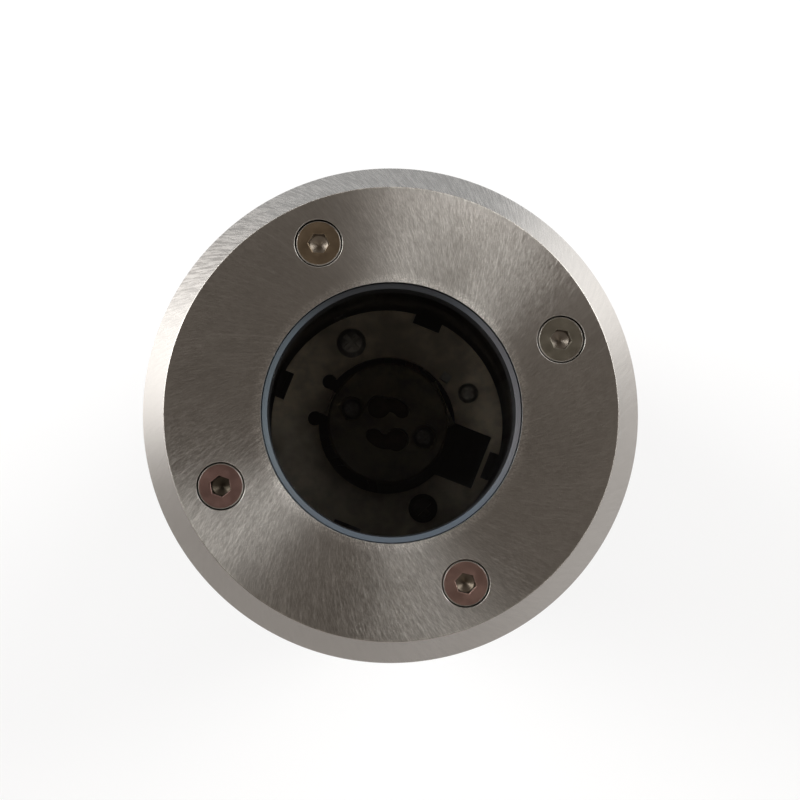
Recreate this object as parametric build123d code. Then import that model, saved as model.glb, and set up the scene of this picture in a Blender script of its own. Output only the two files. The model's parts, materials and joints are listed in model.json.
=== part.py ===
from build123d import *
import os
from math import atan2, cos, degrees, hypot, pi, radians, sin, sqrt, tan

# In-ground well light: a stainless cover with a round window, four flush hex-socket screws, a cast
# housing that holds an upward-facing twist-and-lock lampholder on a stamped plate, and the plastic
# sleeve that stays in the ground. Millimetres, +Z up, origin at the centre of the sleeve's foot.
#
# The plan of the light is turned as a whole: pieces are drawn with the cover screws on X and Y, and
# plan_turn turns them to where they stand.

# ---------------------------------------------------------------- driving sizes
plan_turn = 23.4                # angle of the first cover screw from +X

# Stainless cover
cover_radius = 55.0
cover_thickness = 6.5
bevel_width = 5.2
bevel_drop = 4.5
edge_break = 0.25               # small chamfer on the window edge and the screw pockets

# Cover screws, M6 with a low cylindrical head
cover_screw_count = 4
cover_screw_radius = 3.0
cover_screw_head_radius = 4.95
cover_screw_head_height = 4.0
cover_screw_length = 16.0
cover_screw_key = 4.0           # across the flats of the socket
cover_screw_socket_depth = 2.2
cover_screw_socket_cone = 0.9
cover_screw_chamfer = 0.35
cover_screw_key_turns = (-15.0, 0.0, -15.0, -15.0)
head_pocket_gap = 0.3           # radial room round each head
head_sink = 0.2                 # head top below the cover's face
shank_gap = 0.3                 # radial room round the shank in the cover

# Ground sleeve
cover_overhang = 4.8            # cover's edge beyond the sleeve's wall
sleeve_wall = 2.6
sleeve_height = 150.0
collar_projection = 2.0
collar_height = 6.0
sleeve_rib_count = 8
sleeve_rib_width = 2.2
sleeve_rib_projection = 1.8
foot_projection = 11.8
foot_thickness = 3.0
foot_hole_radius = 2.75
foot_hole_count = 4
cable_window_width = 22.0
cable_window_height = 28.0

# Cast housing
flange_thickness = 5.0
flange_inset = 0.7              # flange edge inside the sleeve's outer wall
boss_radius = 5.6
boss_length = 22.0
boss_chamfer = 1.5
boss_gap = 1.4                  # screw boss to the sleeve's bore
tapped_depth = 19.0
recess_wall = 1.3               # metal between the glass recess and a tapped hole
head_wall = 3.5                 # housing wall round the glass recess
shelf_width = 2.9
shelf_thickness = 4.0
well_wall = 3.2
floor_thickness = 5.0
floor_chamfer = 1.5
fin_count = 16
fin_width = 2.4
fin_reach = 6.4
fin_setback = 4.0

# Glass and its gasket
glass_thickness = 8.0
glass_chamfer = 0.5
glass_overlap = 6.2             # glass edge beyond the window edge
glass_fit = 0.1
gasket_wall = 1.1
gasket_lip = 1.0
gasket_gap = 0.3                # gasket to the recess wall
gasket_shows = 1.3              # upper lip and collar seen inside the window edge
gasket_collar_gap = 0.1         # collar to the window's bore
gasket_collar_sink = 0.5        # collar's top below the cover's face
gasket_collar_fall = 0.6        # slope of the collar's top towards the window
lower_lip_inset = 0.2

# Lampholder, two pins on a 10 mm circle
lamp_room = 49.5                # glass to the lampholder's face
holder_radius = 16.0
holder_height = 24.0
holder_cap_height = 8.0
holder_base_inset = 0.6
holder_chamfer = 0.6
pin_circle_radius = 5.0
key_entry_radius = 3.1
key_slot_width = 4.0
key_entry_angle = 95.6
key_sweep = 78.0
holder_tilt_angle = -45.0       # line of the two holder screws in the plan
holder_screw_inset = 5.7        # screw centre inside the lampholder's edge
holder_screw_radius = 1.5
holder_screw_head_radius = 2.75
holder_screw_head_height = 1.9
holder_screw_pocket_radius = 3.4
holder_screw_pocket_depth = 3.2
contact_thickness = 0.8
contact_margin = 0.9            # contact plate beyond the key slot
contact_arm_width = 3.0
contact_room = 0.5              # lead channel above the contact pocket's floor
lead_channel_radius = 1.6
lead_exit_inset = 2.3           # channel centre inside the base's edge
lead_exit_angle = 43.5

# Mounting plate
plate_gap = 1.2                 # plate edge to the housing wall
plate_thickness = 1.2
holder_gap = 3.0                # plate's round hole beyond the lampholder
window_width = 15.4
window_edge = 3.9               # metal between the window and the plate's rim
notch_count = 4
notch_width = 7.8
notch_depth = 2.8
tongue_width = 7.0
tongue_drop = 6.0
tongue_leg_gap = 1.4            # lampholder to the tongue's leg
tongue_tail = 4.5               # tongue beyond the far holder screw
relief_radius = 2.0
relief_shift = 0.4
plate_screw_shift = 0.6         # screw centre inside the middle of the plate's band
plate_screw_radius = 2.0
plate_screw_head_radius = 4.0
plate_screw_head_height = 2.7
plate_screw_length = 10.0
screw_hole_gap = 0.25

# Wiring chamber
wiring_depth = 28.5
post_radius = 4.2
post_web = 3.0
block_gap = 4.0                 # terminal block to the entry bosses
pole_pitch = 8.0
pole_count = 3
block_width = 14.0
block_height = 9.0
pole_axis_height = 5.2
turret_radius = 2.7
turret_height = 3.4
terminal_screw_radius = 1.3
terminal_screw_head_radius = 1.8
terminal_screw_head_height = 1.2
terminal_screw_offset = 3.6
terminal_screw_sink = 1.0       # screw head below the turret's top
screwdriver_slot = 0.5
screwdriver_slot_depth = 0.7
insert_radius = 2.1
insert_bore_radius = 1.5
insert_end_gap = 1.2
insert_gap = 0.1
block_screw_radius = 1.25
block_screw_head_radius = 2.4
block_screw_head_height = 1.6
block_screw_bite = 4.0
lead_radius = 1.1
ferrule_radius = 0.8
ferrule_length = 3.6
lead_run_out = 9.0              # straight way of each lead before the block
lead_drop = 6.0                 # straight way below the lampholder
live_steps = ((6.0, 8.0, 2.5),)                         # x, y and drop under the lampholder
neutral_steps = ((2.0, 12.0, 1.5), (7.5, 23.0, 2.5))
earth_steps = ((0, 0), (8.0, 0), (14.0, 7.0))           # along the tag's arm, and drop

# Earthing point
earth_screw_shift = 1.3         # screw centre inside the middle of the plate's band
earth_screw_angle = -1.7
earth_screw_radius = 1.5
earth_screw_head_radius = 2.75
earth_screw_head_height = 1.9
earth_tag_thickness = 0.8
earth_tag_radius = 3.1
earth_arm_width = 3.4
earth_nib_margin = 2.2          # nib centre beyond the lampholder's hole
earth_nib_angle = 15.9
earth_nib_size = 2.2
earth_nib_rise = 0.7
crimp_radius = 1.7
crimp_length = 5.0
crimp_start = 9.2               # barrel from the earth screw

# Cable entries, M16
entry_radius = 8.0
entry_half_spacing = 12.2
entry_wall_gap = 0.5            # entry boss to the housing wall
entry_boss_radius = 10.2
entry_boss_height = 4.0
entry_hex = 20.0
entry_hex_height = 4.5
entry_washer_thickness = 1.5
entry_washer_radius = 10.0
gland_neck_radius = 7.4
gland_neck_length = 11.0
gland_bore_radius = 5.6
gland_throat_step = 0.8         # throat above the seal, inside the bore
gland_seal_bore = 3.6
gland_seal_length = 12.0
gland_seal_gap = 0.1
gland_seal_taper = (1.1, 1.8)
gland_nut_hex = 19.0
gland_nut_wall_end = 2.5
gland_nut_mouth = 4.6
gland_nut_standoff = 0.6
gland_nut_overrun = 3.0
gland_dome_height = 5.0
gland_dome_rim = 1.6            # flat end round the mouth, and the dome's last step
gland_dome_shoulder = (0.6, 0.2)
plug_wall = 2.5
plug_floor = 0.5                # hollow of the plug below the housing's floor

# Common clearances
thread_gap = 0.06               # screw or thread in its tapped hole
loose_gap = 0.3                 # curved faces of one body that lie beside each other
nut_flats = 5.5
nut_height = 2.4
thread_end = 0.8                # screw beyond its nut

# Pan heads, as shares of the head's radius or height
pan_crown = 0.45                # height of the crown over the straight edge
pan_shoulder = 0.2              # crown left at the shoulder
pan_edge = 0.30                 # shoulder inside the edge
pan_flat = 0.3                  # flat top
cross_arm = 0.62
cross_slot = 0.15
cross_floor = 0.35              # recess floor over the seat
cross_turn = 20.0

# ---------------------------------------------------------------- plan, from the cover inwards
sleeve_outer = cover_radius - cover_overhang
sleeve_inner = sleeve_outer - sleeve_wall
collar_radius = sleeve_outer + collar_projection
foot_radius = sleeve_outer + foot_projection
foot_hole_circle = (sleeve_outer + foot_radius) / 2
flange_radius = sleeve_outer - flange_inset
cover_screw_circle = sleeve_inner - boss_gap - boss_radius
recess_radius = cover_screw_circle - cover_screw_radius - recess_wall
gasket_radius = recess_radius - gasket_gap
glass_radius = gasket_radius - gasket_wall - glass_fit
window_radius = glass_radius - glass_overlap
well_radius = recess_radius - shelf_width
plate_radius = well_radius - plate_gap
plate_hole_radius = holder_radius + holder_gap
window_reach = plate_radius - window_edge
plate_band_middle = (plate_hole_radius + plate_radius) / 2
plate_screw_circle = plate_band_middle - plate_screw_shift
earth_screw_circle = plate_band_middle - earth_screw_shift
earth_nib_circle = plate_hole_radius + earth_nib_margin
holder_base_radius = holder_radius - holder_base_inset
holder_screw_circle = holder_radius - holder_screw_inset
lead_exit_circle = holder_base_radius - lead_exit_inset
tongue_leg = holder_radius + tongue_leg_gap
entry_circle = well_radius - entry_wall_gap - entry_boss_radius
entry_x = -sqrt(entry_circle**2 - entry_half_spacing**2)
block_half_length = pole_count * pole_pitch / 2
block_centre_x = entry_x + entry_boss_radius + block_gap + block_half_length

# ---------------------------------------------------------------- levels, from the face down
flange_low = sleeve_height
cover_low = flange_low + flange_thickness
face_z = cover_low + cover_thickness
glass_top = cover_low - gasket_lip
glass_low = glass_top - glass_thickness
shelf_z = glass_low - gasket_lip
holder_top = glass_low - lamp_room
holder_split = holder_top - holder_cap_height
holder_low = holder_top - holder_height
plate_top = holder_low + tongue_drop
plate_low = plate_top - plate_thickness
floor_top = plate_low - wiring_depth
floor_low = floor_top - floor_thickness
head_top = face_z - head_sink
head_seat = head_top - cover_screw_head_height
pole_z = floor_top + pole_axis_height
block_top = floor_top + block_height
washer_low = floor_low - entry_washer_thickness
hex_low = washer_low - entry_hex_height
neck_low = hex_low - gland_neck_length
nut_shoulder = neck_low - gland_nut_overrun
seal_low = nut_shoulder + gland_seal_gap
seal_top = seal_low + gland_seal_length


# ---------------------------------------------------------------- small shape makers
def disc(radius, low, high, x=0.0, y=0.0):
    """Upright cylinder between two levels."""
    return Pos(x, y, (low + high) / 2) * Cylinder(radius, high - low)


def ring(outer, inner, low, high, x=0.0, y=0.0):
    """Upright tube between two levels."""
    return disc(outer, low, high, x, y) - disc(inner, low - 1, high + 1, x, y)


def block(x_low, x_high, y_low, y_high, low, high):
    """Box between two corners."""
    centre = ((x_low + x_high) / 2, (y_low + y_high) / 2, (low + high) / 2)
    return Pos(*centre) * Box(x_high - x_low, y_high - y_low, high - low)


def hexagon(flats, low, high, x=0.0, y=0.0, turn=0.0):
    """Upright hexagonal bar, flats across."""
    outline = RegularPolygon(flats / 2, 6, major_radius=False, rotation=turn)
    return Pos(x, y, low) * extrude(outline, high - low)


def turned_profile(points):
    """Solid of revolution about Z, from (radius, level) corners."""
    corners = [(radius, 0, level) for radius, level in points]
    return revolve(make_face(Polyline(*corners, close=True)), Axis.Z)


def around(shape, count, first=0.0):
    """Copies of a shape at even angles about Z."""
    return [Rot(0, 0, first + 360 / count * k) * shape for k in range(count)]


def spot(radius, angle):
    """Point of the plan at a radius and an angle."""
    return radius * cos(radians(angle)), radius * sin(radians(angle))


def way(start, end):
    """Distance and direction in degrees from one point of the plan to another."""
    across, along = end[0] - start[0], end[1] - start[1]
    return hypot(across, along), degrees(atan2(along, across))


def slot_cut(x, y, width, low, high):
    """Screwdriver slot along X through a head."""
    reach = 2 * block_screw_head_radius
    return block(x - reach, x + reach, y - width / 2, y + width / 2, low, high)


def pan_screw(radius, head_radius, head_height, length, x, y, seat):
    """Pan-head screw with a cross recess; its head stands on the level seat."""
    top = seat + head_height
    crown = pan_crown * head_height
    head = turned_profile([(0, seat), (head_radius, seat), (head_radius, top - crown),
                           ((1 - pan_edge) * head_radius, top - pan_shoulder * crown),
                           (pan_flat * head_radius, top), (0, top)])
    shank = disc(radius, seat - length, seat)
    arm = cross_arm * head_radius
    slot = cross_slot * head_radius
    deep = seat + cross_floor * head_height
    recess = block(-arm, arm, -slot, slot, deep, top + 1)
    recess += block(-slot, slot, -arm, arm, deep, top + 1)
    return Pos(x, y, 0) * (head + shank - Rot(0, 0, cross_turn) * recess)


def bend_radii(points):
    """Arc radius at each inner corner of a route: 0.45 of the shorter run over the tangent of half
    the turn."""
    radii = []
    for before, here, after in zip(points, points[1:], points[2:]):
        run_in = Vector(*here) - Vector(*before)
        run_out = Vector(*after) - Vector(*here)
        turn = radians(run_in.get_angle(run_out))
        radii.append(0.45 * min(run_in.length, run_out.length) / tan(turn / 2))
    return radii


def lead(name, points):
    """Insulated lead along runs joined by arcs, with a bare ferrule at its far end."""
    radii = bend_radii(points)
    path = FilletPolyline(*points, radius=radii)
    body = sweep(Plane(origin=path @ 0, z_dir=path % 0) * Circle(lead_radius), path)
    tip = Vector(*points[-1])
    run = (tip - Vector(*points[-2])).normalized()
    ferrule = extrude(Plane(origin=tip, z_dir=run) * Circle(ferrule_radius), ferrule_length)
    print(name, "length", round(path.length, 1), "radii", [round(value, 1) for value in radii])
    tube = pi * lead_radius**2 * path.length
    print(name, "volume over section x length", round(body.volume / tube, 4))
    return body + ferrule


# ---------------------------------------------------------------- cover, glass and gasket
def face_plate():
    """Disc with a bevel round its face, the window and four screw pockets."""
    face_edge = cover_radius - bevel_width
    plate = turned_profile([
        (window_radius, cover_low), (cover_radius, cover_low), (cover_radius, face_z - bevel_drop),
        (face_edge, face_z), (window_radius + edge_break, face_z), (window_radius, face_z - edge_break)])
    pocket_radius = cover_screw_head_radius + head_pocket_gap
    pocket = disc(pocket_radius, head_seat, face_z + 1)
    pocket += turned_profile([(0, face_z - edge_break), (pocket_radius, face_z - edge_break),
                              (pocket_radius + edge_break, face_z), (0, face_z)])
    pocket += disc(cover_screw_radius + shank_gap, cover_low - 1, head_seat)
    for hole in around(Pos(cover_screw_circle, 0, 0) * pocket, cover_screw_count):
        plate -= hole
    return plate


def lens_glass():
    """Toughened glass disc with ground edges."""
    return turned_profile([
        (0, glass_low), (glass_radius - glass_chamfer, glass_low), (glass_radius, glass_low + glass_chamfer),
        (glass_radius, glass_top - glass_chamfer), (glass_radius - glass_chamfer, glass_top), (0, glass_top)])


def lens_gasket():
    """Silicone ring of U section round the glass edge, with a collar that lines the window's bore."""
    upper = window_radius - gasket_shows
    collar = window_radius - gasket_collar_gap
    collar_top = face_z - gasket_collar_sink
    lower = well_radius + lower_lip_inset
    groove = glass_radius + glass_fit
    return turned_profile([
        (upper, glass_top), (upper, collar_top - gasket_collar_fall), (collar, collar_top),
        (collar, cover_low), (gasket_radius, cover_low), (gasket_radius, shelf_z),
        (lower, shelf_z), (lower, glass_low), (groove, glass_low), (groove, glass_top)])


def cover_screw(index):
    """Low-head screw with a hexagon socket that ends in a drill cone."""
    top = head_top
    edge = cover_screw_head_radius - cover_screw_chamfer
    screw = turned_profile([
        (0, head_seat), (cover_screw_head_radius, head_seat),
        (cover_screw_head_radius, top - cover_screw_chamfer), (edge, top), (0, top)])
    screw += disc(cover_screw_radius, head_seat - cover_screw_length, head_seat)
    bottom = top - cover_screw_socket_depth
    screw -= hexagon(cover_screw_key, bottom, top + 1, turn=cover_screw_key_turns[index] - plan_turn)
    cone = turned_profile([(0, bottom - cover_screw_socket_cone), (cover_screw_key / 2, bottom), (0, bottom)])
    screw -= cone
    x, y = spot(cover_screw_circle, 360 / cover_screw_count * index)
    return Pos(x, y, 0) * screw


# ---------------------------------------------------------------- ground sleeve
def mounting_sleeve():
    """Open tube with a collar, ribs, a foot with peg holes and two cable windows."""
    sleeve = ring(sleeve_outer, sleeve_inner, 0, sleeve_height)
    sleeve += ring(collar_radius, sleeve_inner, sleeve_height - collar_height, sleeve_height)
    sleeve += ring(foot_radius, sleeve_inner, 0, foot_thickness)
    rib = block(sleeve_outer - sleeve_wall / 2, sleeve_outer + sleeve_rib_projection,
                -sleeve_rib_width / 2, sleeve_rib_width / 2, foot_thickness / 2,
                sleeve_height - collar_height / 2)
    for one in around(rib, sleeve_rib_count, 180 / sleeve_rib_count):
        sleeve += one
    window = block(0, foot_radius + 1, -cable_window_width / 2, cable_window_width / 2, foot_thickness,
                   foot_thickness + cable_window_height - cable_window_width / 2)
    arch = Pos(foot_radius / 2, 0, foot_thickness + cable_window_height - cable_window_width / 2)
    window += arch * Rot(0, 90, 0) * Cylinder(cable_window_width / 2, foot_radius + 2)
    for one in around(window, 2):
        sleeve -= one
    hole = disc(foot_hole_radius, -1, foot_thickness + 1, foot_hole_circle)
    for one in around(hole, foot_hole_count, 180 / foot_hole_count):
        sleeve -= one
    return sleeve


# ---------------------------------------------------------------- cast housing
def housing():
    """Cup with a flange, four tapped bosses, fins, plate posts and two cable entries."""
    head = recess_radius + head_wall
    cup = well_radius + well_wall
    under_shelf = shelf_z - shelf_thickness
    body = turned_profile([
        (0, floor_low), (cup - floor_chamfer, floor_low), (cup, floor_low + floor_chamfer),
        (cup, under_shelf - (head - cup)),
        (head, under_shelf), (head, flange_low), (flange_radius, flange_low), (flange_radius, cover_low),
        (recess_radius, cover_low), (recess_radius, shelf_z), (well_radius, shelf_z),
        (well_radius, floor_top), (0, floor_top)])
    boss_low = cover_low - boss_length
    boss = turned_profile([
        (0, boss_low), (boss_radius - boss_chamfer, boss_low), (boss_radius, boss_low + boss_chamfer),
        (boss_radius, flange_low + 1), (0, flange_low + 1)])
    fin = block(cup - well_wall / 2, cup + fin_reach, -fin_width / 2, fin_width / 2,
                floor_low + fin_setback, flange_low - boss_length)
    for one in around(Pos(cover_screw_circle, 0, 0) * boss, cover_screw_count):
        body += one
    for one in around(fin, fin_count, 180 / fin_count):
        body += one
    body -= disc(well_radius, floor_top, shelf_z + 1)
    body -= disc(recess_radius, shelf_z, cover_low + 1)
    tapped = disc(cover_screw_radius + thread_gap, cover_low - tapped_depth, cover_low + 1)
    for one in around(Pos(cover_screw_circle, 0, 0) * tapped, cover_screw_count):
        body -= one
    for side in (-1, 1):
        y = side * plate_screw_circle
        post = disc(post_radius, floor_top - 1, plate_low, 0, y)
        wall_y = side * (well_radius + well_wall / 2)
        post += block(-post_web / 2, post_web / 2, min(y, wall_y), max(y, wall_y), floor_top - 1, plate_low)
        body += post
        body -= disc(plate_screw_radius + thread_gap, plate_low - plate_screw_length, plate_low + 1, 0, y)
        entry_y = side * entry_half_spacing
        body += disc(entry_boss_radius, floor_top - 1, floor_top + entry_boss_height, entry_x, entry_y)
        body -= disc(entry_radius, floor_low - 1, floor_top + entry_boss_height + 1, entry_x, entry_y)
    for x in block_screw_places():
        body -= disc(block_screw_radius + thread_gap, floor_top - block_screw_bite, floor_top + 1, x)
    return body


# ---------------------------------------------------------------- mounting plate
def tongue_strip():
    """Bent strip: flat under the lampholder, up a leg and out to the plate."""
    far = -(holder_screw_circle + tongue_tail)
    root = plate_hole_radius + relief_radius
    strip = block(far, tongue_leg + plate_thickness, -tongue_width / 2, tongue_width / 2,
                  holder_low - plate_thickness, holder_low)
    strip += block(tongue_leg, tongue_leg + plate_thickness, -tongue_width / 2, tongue_width / 2,
                   holder_low - plate_thickness, plate_top)
    strip += block(tongue_leg, root, -tongue_width / 2, tongue_width / 2, plate_low, plate_top)
    return strip


def mounting_plate():
    """Stamped disc with the lampholder hole, lead window, rim notches and the bent tongue."""
    over, under = plate_top + 1, plate_low - 1
    plate = disc(plate_radius, plate_low, plate_top)
    plate -= disc(plate_hole_radius, under, over)
    notch = block(plate_radius - notch_depth, plate_radius + 1, -notch_width / 2, notch_width / 2, under, over)
    for one in around(notch, notch_count, 180 / notch_count):
        plate -= one
    window = block(0, window_reach, -window_width / 2, window_width / 2, under, over)
    plate -= Rot(0, 0, holder_tilt_angle) * window
    tongue_line = Rot(0, 0, holder_tilt_angle + 180)
    relief_y = tongue_width / 2 + relief_radius
    for side in (-1, 1):
        relief = disc(relief_radius, under, over, plate_hole_radius + relief_shift, side * relief_y)
        plate -= tongue_line * relief
        plate -= disc(plate_screw_radius + screw_hole_gap, under, over, 0, side * plate_screw_circle)
    plate += tongue_line * tongue_strip()
    low = holder_low - 2 * plate_thickness
    for x, y in holder_screw_spots():
        plate -= disc(holder_screw_radius + screw_hole_gap, low, holder_low + 1, x, y)
    distance, angle = earth_arm()
    x, y = spot(earth_screw_circle, earth_screw_angle)
    plate -= disc(earth_screw_radius + screw_hole_gap, under, over, x, y)
    half = earth_nib_size / 2 + screw_hole_gap
    nib_hole = block(distance - half, distance + half, -half, half, under, over)
    plate -= Pos(x, y, 0) * Rot(0, 0, angle) * nib_hole
    return plate


def plate_screws():
    """Two pan-head screws that hold the plate on its posts."""
    return [pan_screw(plate_screw_radius, plate_screw_head_radius, plate_screw_head_height,
                      plate_screw_length, 0, side * plate_screw_circle, plate_top) for side in (-1, 1)]


# ---------------------------------------------------------------- lampholder
def key_slot(width, low, high):
    """Arc slot on the pin circle, from the pin entry to its locked end."""
    arc = CenterArc((0, 0), pin_circle_radius, key_entry_angle - key_sweep, key_sweep)
    return Pos(0, 0, low) * extrude(SlotArc(arc, width), high - low)


def keyholes(low, high):
    """Both keyholes, opposite each other."""
    x, y = spot(pin_circle_radius, key_entry_angle)
    one = key_slot(key_slot_width, low, high) + disc(key_entry_radius, low, high, x, y)
    return [one, Rot(0, 0, 180) * one]


def holder_screw_spots():
    return [spot(side * holder_screw_circle, holder_tilt_angle) for side in (-1, 1)]


def lampholder_cap():
    """Ceramic upper half with the two keyholes and the screw pockets."""
    cap = turned_profile([
        (0, holder_split), (holder_radius, holder_split), (holder_radius, holder_top - holder_chamfer),
        (holder_radius - holder_chamfer, holder_top), (0, holder_top)])
    for hole in keyholes(holder_split - 1, holder_top + 1):
        cap -= hole
    for x, y in holder_screw_spots():
        cap -= disc(holder_screw_pocket_radius, holder_top - holder_screw_pocket_depth, holder_top + 1, x, y)
        cap -= disc(holder_screw_radius + screw_hole_gap, holder_split - 1, holder_top, x, y)
    return cap


def contact_shape(grow, low, high):
    """Flat contact under a keyhole with an arm to its lead, larger by grow all round."""
    plate = key_slot(key_slot_width + 2 * contact_margin + 2 * grow, low, high)
    middle = spot(pin_circle_radius, key_entry_angle - key_sweep / 2)
    reach, heading = way(middle, spot(lead_exit_circle, lead_exit_angle))
    half = contact_arm_width / 2 + grow
    arm = block(0, reach, -half, half, low, high) + disc(half, low, high, reach)
    return plate + Pos(middle[0], middle[1], 0) * Rot(0, 0, heading) * arm


def lampholder_contacts():
    """Two spring-brass contacts that lie in pockets of the base."""
    return around(contact_shape(0, holder_split - contact_thickness, holder_split), 2)


def lampholder_base():
    """Ceramic lower half with contact pockets and two lead channels."""
    base = disc(holder_base_radius, holder_low, holder_split)
    pocket_low = holder_split - contact_thickness
    channel = Pos(*spot(lead_exit_circle, lead_exit_angle), 0) * disc(
        lead_channel_radius, holder_low - 1, pocket_low + contact_room)
    for cut in around(contact_shape(screw_hole_gap, pocket_low, holder_split + 1), 2) + around(channel, 2):
        base -= cut
    for x, y in holder_screw_spots():
        base -= disc(holder_screw_radius + screw_hole_gap, holder_low - 1, holder_split + 1, x, y)
    return base


def lampholder_screws():
    """Two long screws through both halves and the tongue."""
    seat = holder_top - holder_screw_pocket_depth
    length = seat - (holder_low - plate_thickness - nut_height - thread_end)
    return [pan_screw(holder_screw_radius, holder_screw_head_radius, holder_screw_head_height, length,
                      x, y, seat) for x, y in holder_screw_spots()]


def small_nut(x, y, top):
    """M3 nut below a level."""
    return hexagon(nut_flats, top - nut_height, top, x, y) - disc(
        holder_screw_radius + thread_gap, top - nut_height - 1, top + 1, x, y)


def lampholder_nuts():
    """Nuts of the two lampholder screws, under the tongue."""
    return [small_nut(x, y, holder_low - plate_thickness) for x, y in holder_screw_spots()]


# ---------------------------------------------------------------- earthing point
def earth_arm():
    """Distance and direction from the earth screw to the tag's nib."""
    return way(spot(earth_screw_circle, earth_screw_angle), spot(earth_nib_circle, earth_nib_angle))


def earth_tag():
    """Tag under the plate: ring, arm with a nib up through the plate, and crimp barrel."""
    distance, angle = earth_arm()
    top = plate_low
    low = top - earth_tag_thickness
    tag = disc(earth_tag_radius, low, top)
    tag += block(0, crimp_start + 1, -earth_arm_width / 2, earth_arm_width / 2, low, top)
    tag -= disc(earth_screw_radius + screw_hole_gap, low - 1, top + 1)
    half = earth_nib_size / 2
    tag += block(distance - half, distance + half, -half, half, low, plate_top + earth_nib_rise)
    barrel = Pos(crimp_start + crimp_length / 2, 0, top - crimp_radius) * Rot(0, 90, 0)
    tag += barrel * Cylinder(crimp_radius, crimp_length)
    tag -= Pos(crimp_start + crimp_length, 0, top - crimp_radius) * Rot(0, 90, 0) * Cylinder(
        lead_radius + thread_gap, crimp_length)
    x, y = spot(earth_screw_circle, earth_screw_angle)
    return Pos(x, y, 0) * Rot(0, 0, angle) * tag


def earth_screw():
    """Pan-head screw of the earthing point."""
    x, y = spot(earth_screw_circle, earth_screw_angle)
    length = plate_thickness + earth_tag_thickness + nut_height + thread_end
    return pan_screw(earth_screw_radius, earth_screw_head_radius, earth_screw_head_height, length,
                     x, y, plate_top)


def earth_nut():
    """Nut that clamps the earth tag."""
    x, y = spot(earth_screw_circle, earth_screw_angle)
    return small_nut(x, y, plate_low - earth_tag_thickness)


# ---------------------------------------------------------------- terminal block
def pole_places():
    middle = (pole_count - 1) / 2
    return [block_centre_x + (k - middle) * pole_pitch for k in range(pole_count)]


def block_screw_places():
    places = pole_places()
    return [(one + other) / 2 for one, other in zip(places, places[1:])]


def along_y(radius, x, y_low, y_high, level):
    """Cylinder that lies along Y."""
    return Pos(x, (y_low + y_high) / 2, level) * Rot(90, 0, 0) * Cylinder(radius, y_high - y_low)


def terminal_block():
    """Moulded block with a through-way and two screw turrets for each pole."""
    places = pole_places()
    half = block_width / 2
    turret_top = block_top + turret_height
    body = block(block_centre_x - block_half_length, block_centre_x + block_half_length, -half, half,
                 floor_top, block_top)
    for x in places:
        for y in (-terminal_screw_offset, terminal_screw_offset):
            body += disc(turret_radius, block_top - 1, turret_top, x, y)
    for x in places:
        body -= along_y(insert_radius + insert_gap, x, -half - 1, half + 1, pole_z)
        for y in (-terminal_screw_offset, terminal_screw_offset):
            body -= disc(terminal_screw_head_radius + screw_hole_gap, pole_z, turret_top + 1, x, y)
    for x in block_screw_places():
        body -= disc(block_screw_radius + screw_hole_gap, floor_top - 1, block_top + 1, x)
    return body


def terminal_inserts():
    """Brass through-ways with a tapped hole at each end."""
    inserts = []
    for x in pole_places():
        reach = block_width / 2 - insert_end_gap
        tube = along_y(insert_radius, x, -reach, reach, pole_z)
        tube -= along_y(insert_bore_radius, x, -reach - 1, reach + 1, pole_z)
        for y in (-terminal_screw_offset, terminal_screw_offset):
            tube -= disc(terminal_screw_radius + thread_gap, pole_z, pole_z + 2 * insert_radius, x, y)
        inserts.append(tube)
    return inserts


def terminal_screws():
    """Slotted clamp screws, two for each pole."""
    screws = []
    low = pole_z + ferrule_radius + thread_gap
    top = block_top + turret_height - terminal_screw_sink
    for x in pole_places():
        for y in (-terminal_screw_offset, terminal_screw_offset):
            screw = disc(terminal_screw_radius, low, top, x, y)
            screw += disc(terminal_screw_head_radius, top - terminal_screw_head_height, top, x, y)
            screw -= slot_cut(x, y, screwdriver_slot, top - screwdriver_slot_depth, top + 1)
            screws.append(screw)
    return screws


def block_screws():
    """Two screws that hold the terminal block on the floor."""
    screws = []
    top = block_top + block_screw_head_height
    for x in block_screw_places():
        screw = disc(block_screw_radius, floor_top - block_screw_bite, block_top, x)
        screw += disc(block_screw_head_radius, block_top, top, x)
        screw -= slot_cut(x, 0, screwdriver_slot, top - screwdriver_slot_depth, top + 1)
        screws.append(screw)
    return screws


# ---------------------------------------------------------------- leads
def lead_to_pole(name, start_points, pole):
    """Lead from its own start to the +Y mouth of a pole."""
    x = pole_places()[pole]
    mouth = block_width / 2 + loose_gap
    return lead(name, start_points + [(x, mouth + lead_run_out, pole_z), (x, mouth, pole_z)])


def holder_lead_points(angle, steps):
    """A lamp lead's points: down its channel, then steps from the point under the lampholder."""
    x, y = spot(lead_exit_circle, angle)
    low = holder_low - lead_drop
    points = [(x, y, holder_split - contact_thickness - thread_gap), (x, y, low)]
    return points + [(x + across, y + along, low - drop) for across, along, drop in steps]


def lamp_lead_live():
    return lead_to_pole("lamp_lead_live", holder_lead_points(lead_exit_angle, live_steps), pole_count - 1)


def lamp_lead_neutral():
    return lead_to_pole("lamp_lead_neutral", holder_lead_points(lead_exit_angle + 180, neutral_steps), 0)


def earth_lead():
    x, y = spot(earth_screw_circle, earth_screw_angle)
    start = crimp_start + crimp_length / 2 + thread_gap
    lead_points = []
    for distance, drop in earth_steps:
        dx, dy = spot(start + distance, earth_arm()[1])
        lead_points.append((x + dx, y + dy, plate_low - crimp_radius - drop))
    return lead_to_pole("earth_lead", lead_points, pole_count // 2)


# ---------------------------------------------------------------- cable gland and blanking plug
def entry_washer(side):
    """Flat sealing washer under an entry's hexagon."""
    return ring(entry_washer_radius, entry_radius + loose_gap, washer_low, floor_low, entry_x,
                side * entry_half_spacing)


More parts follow.
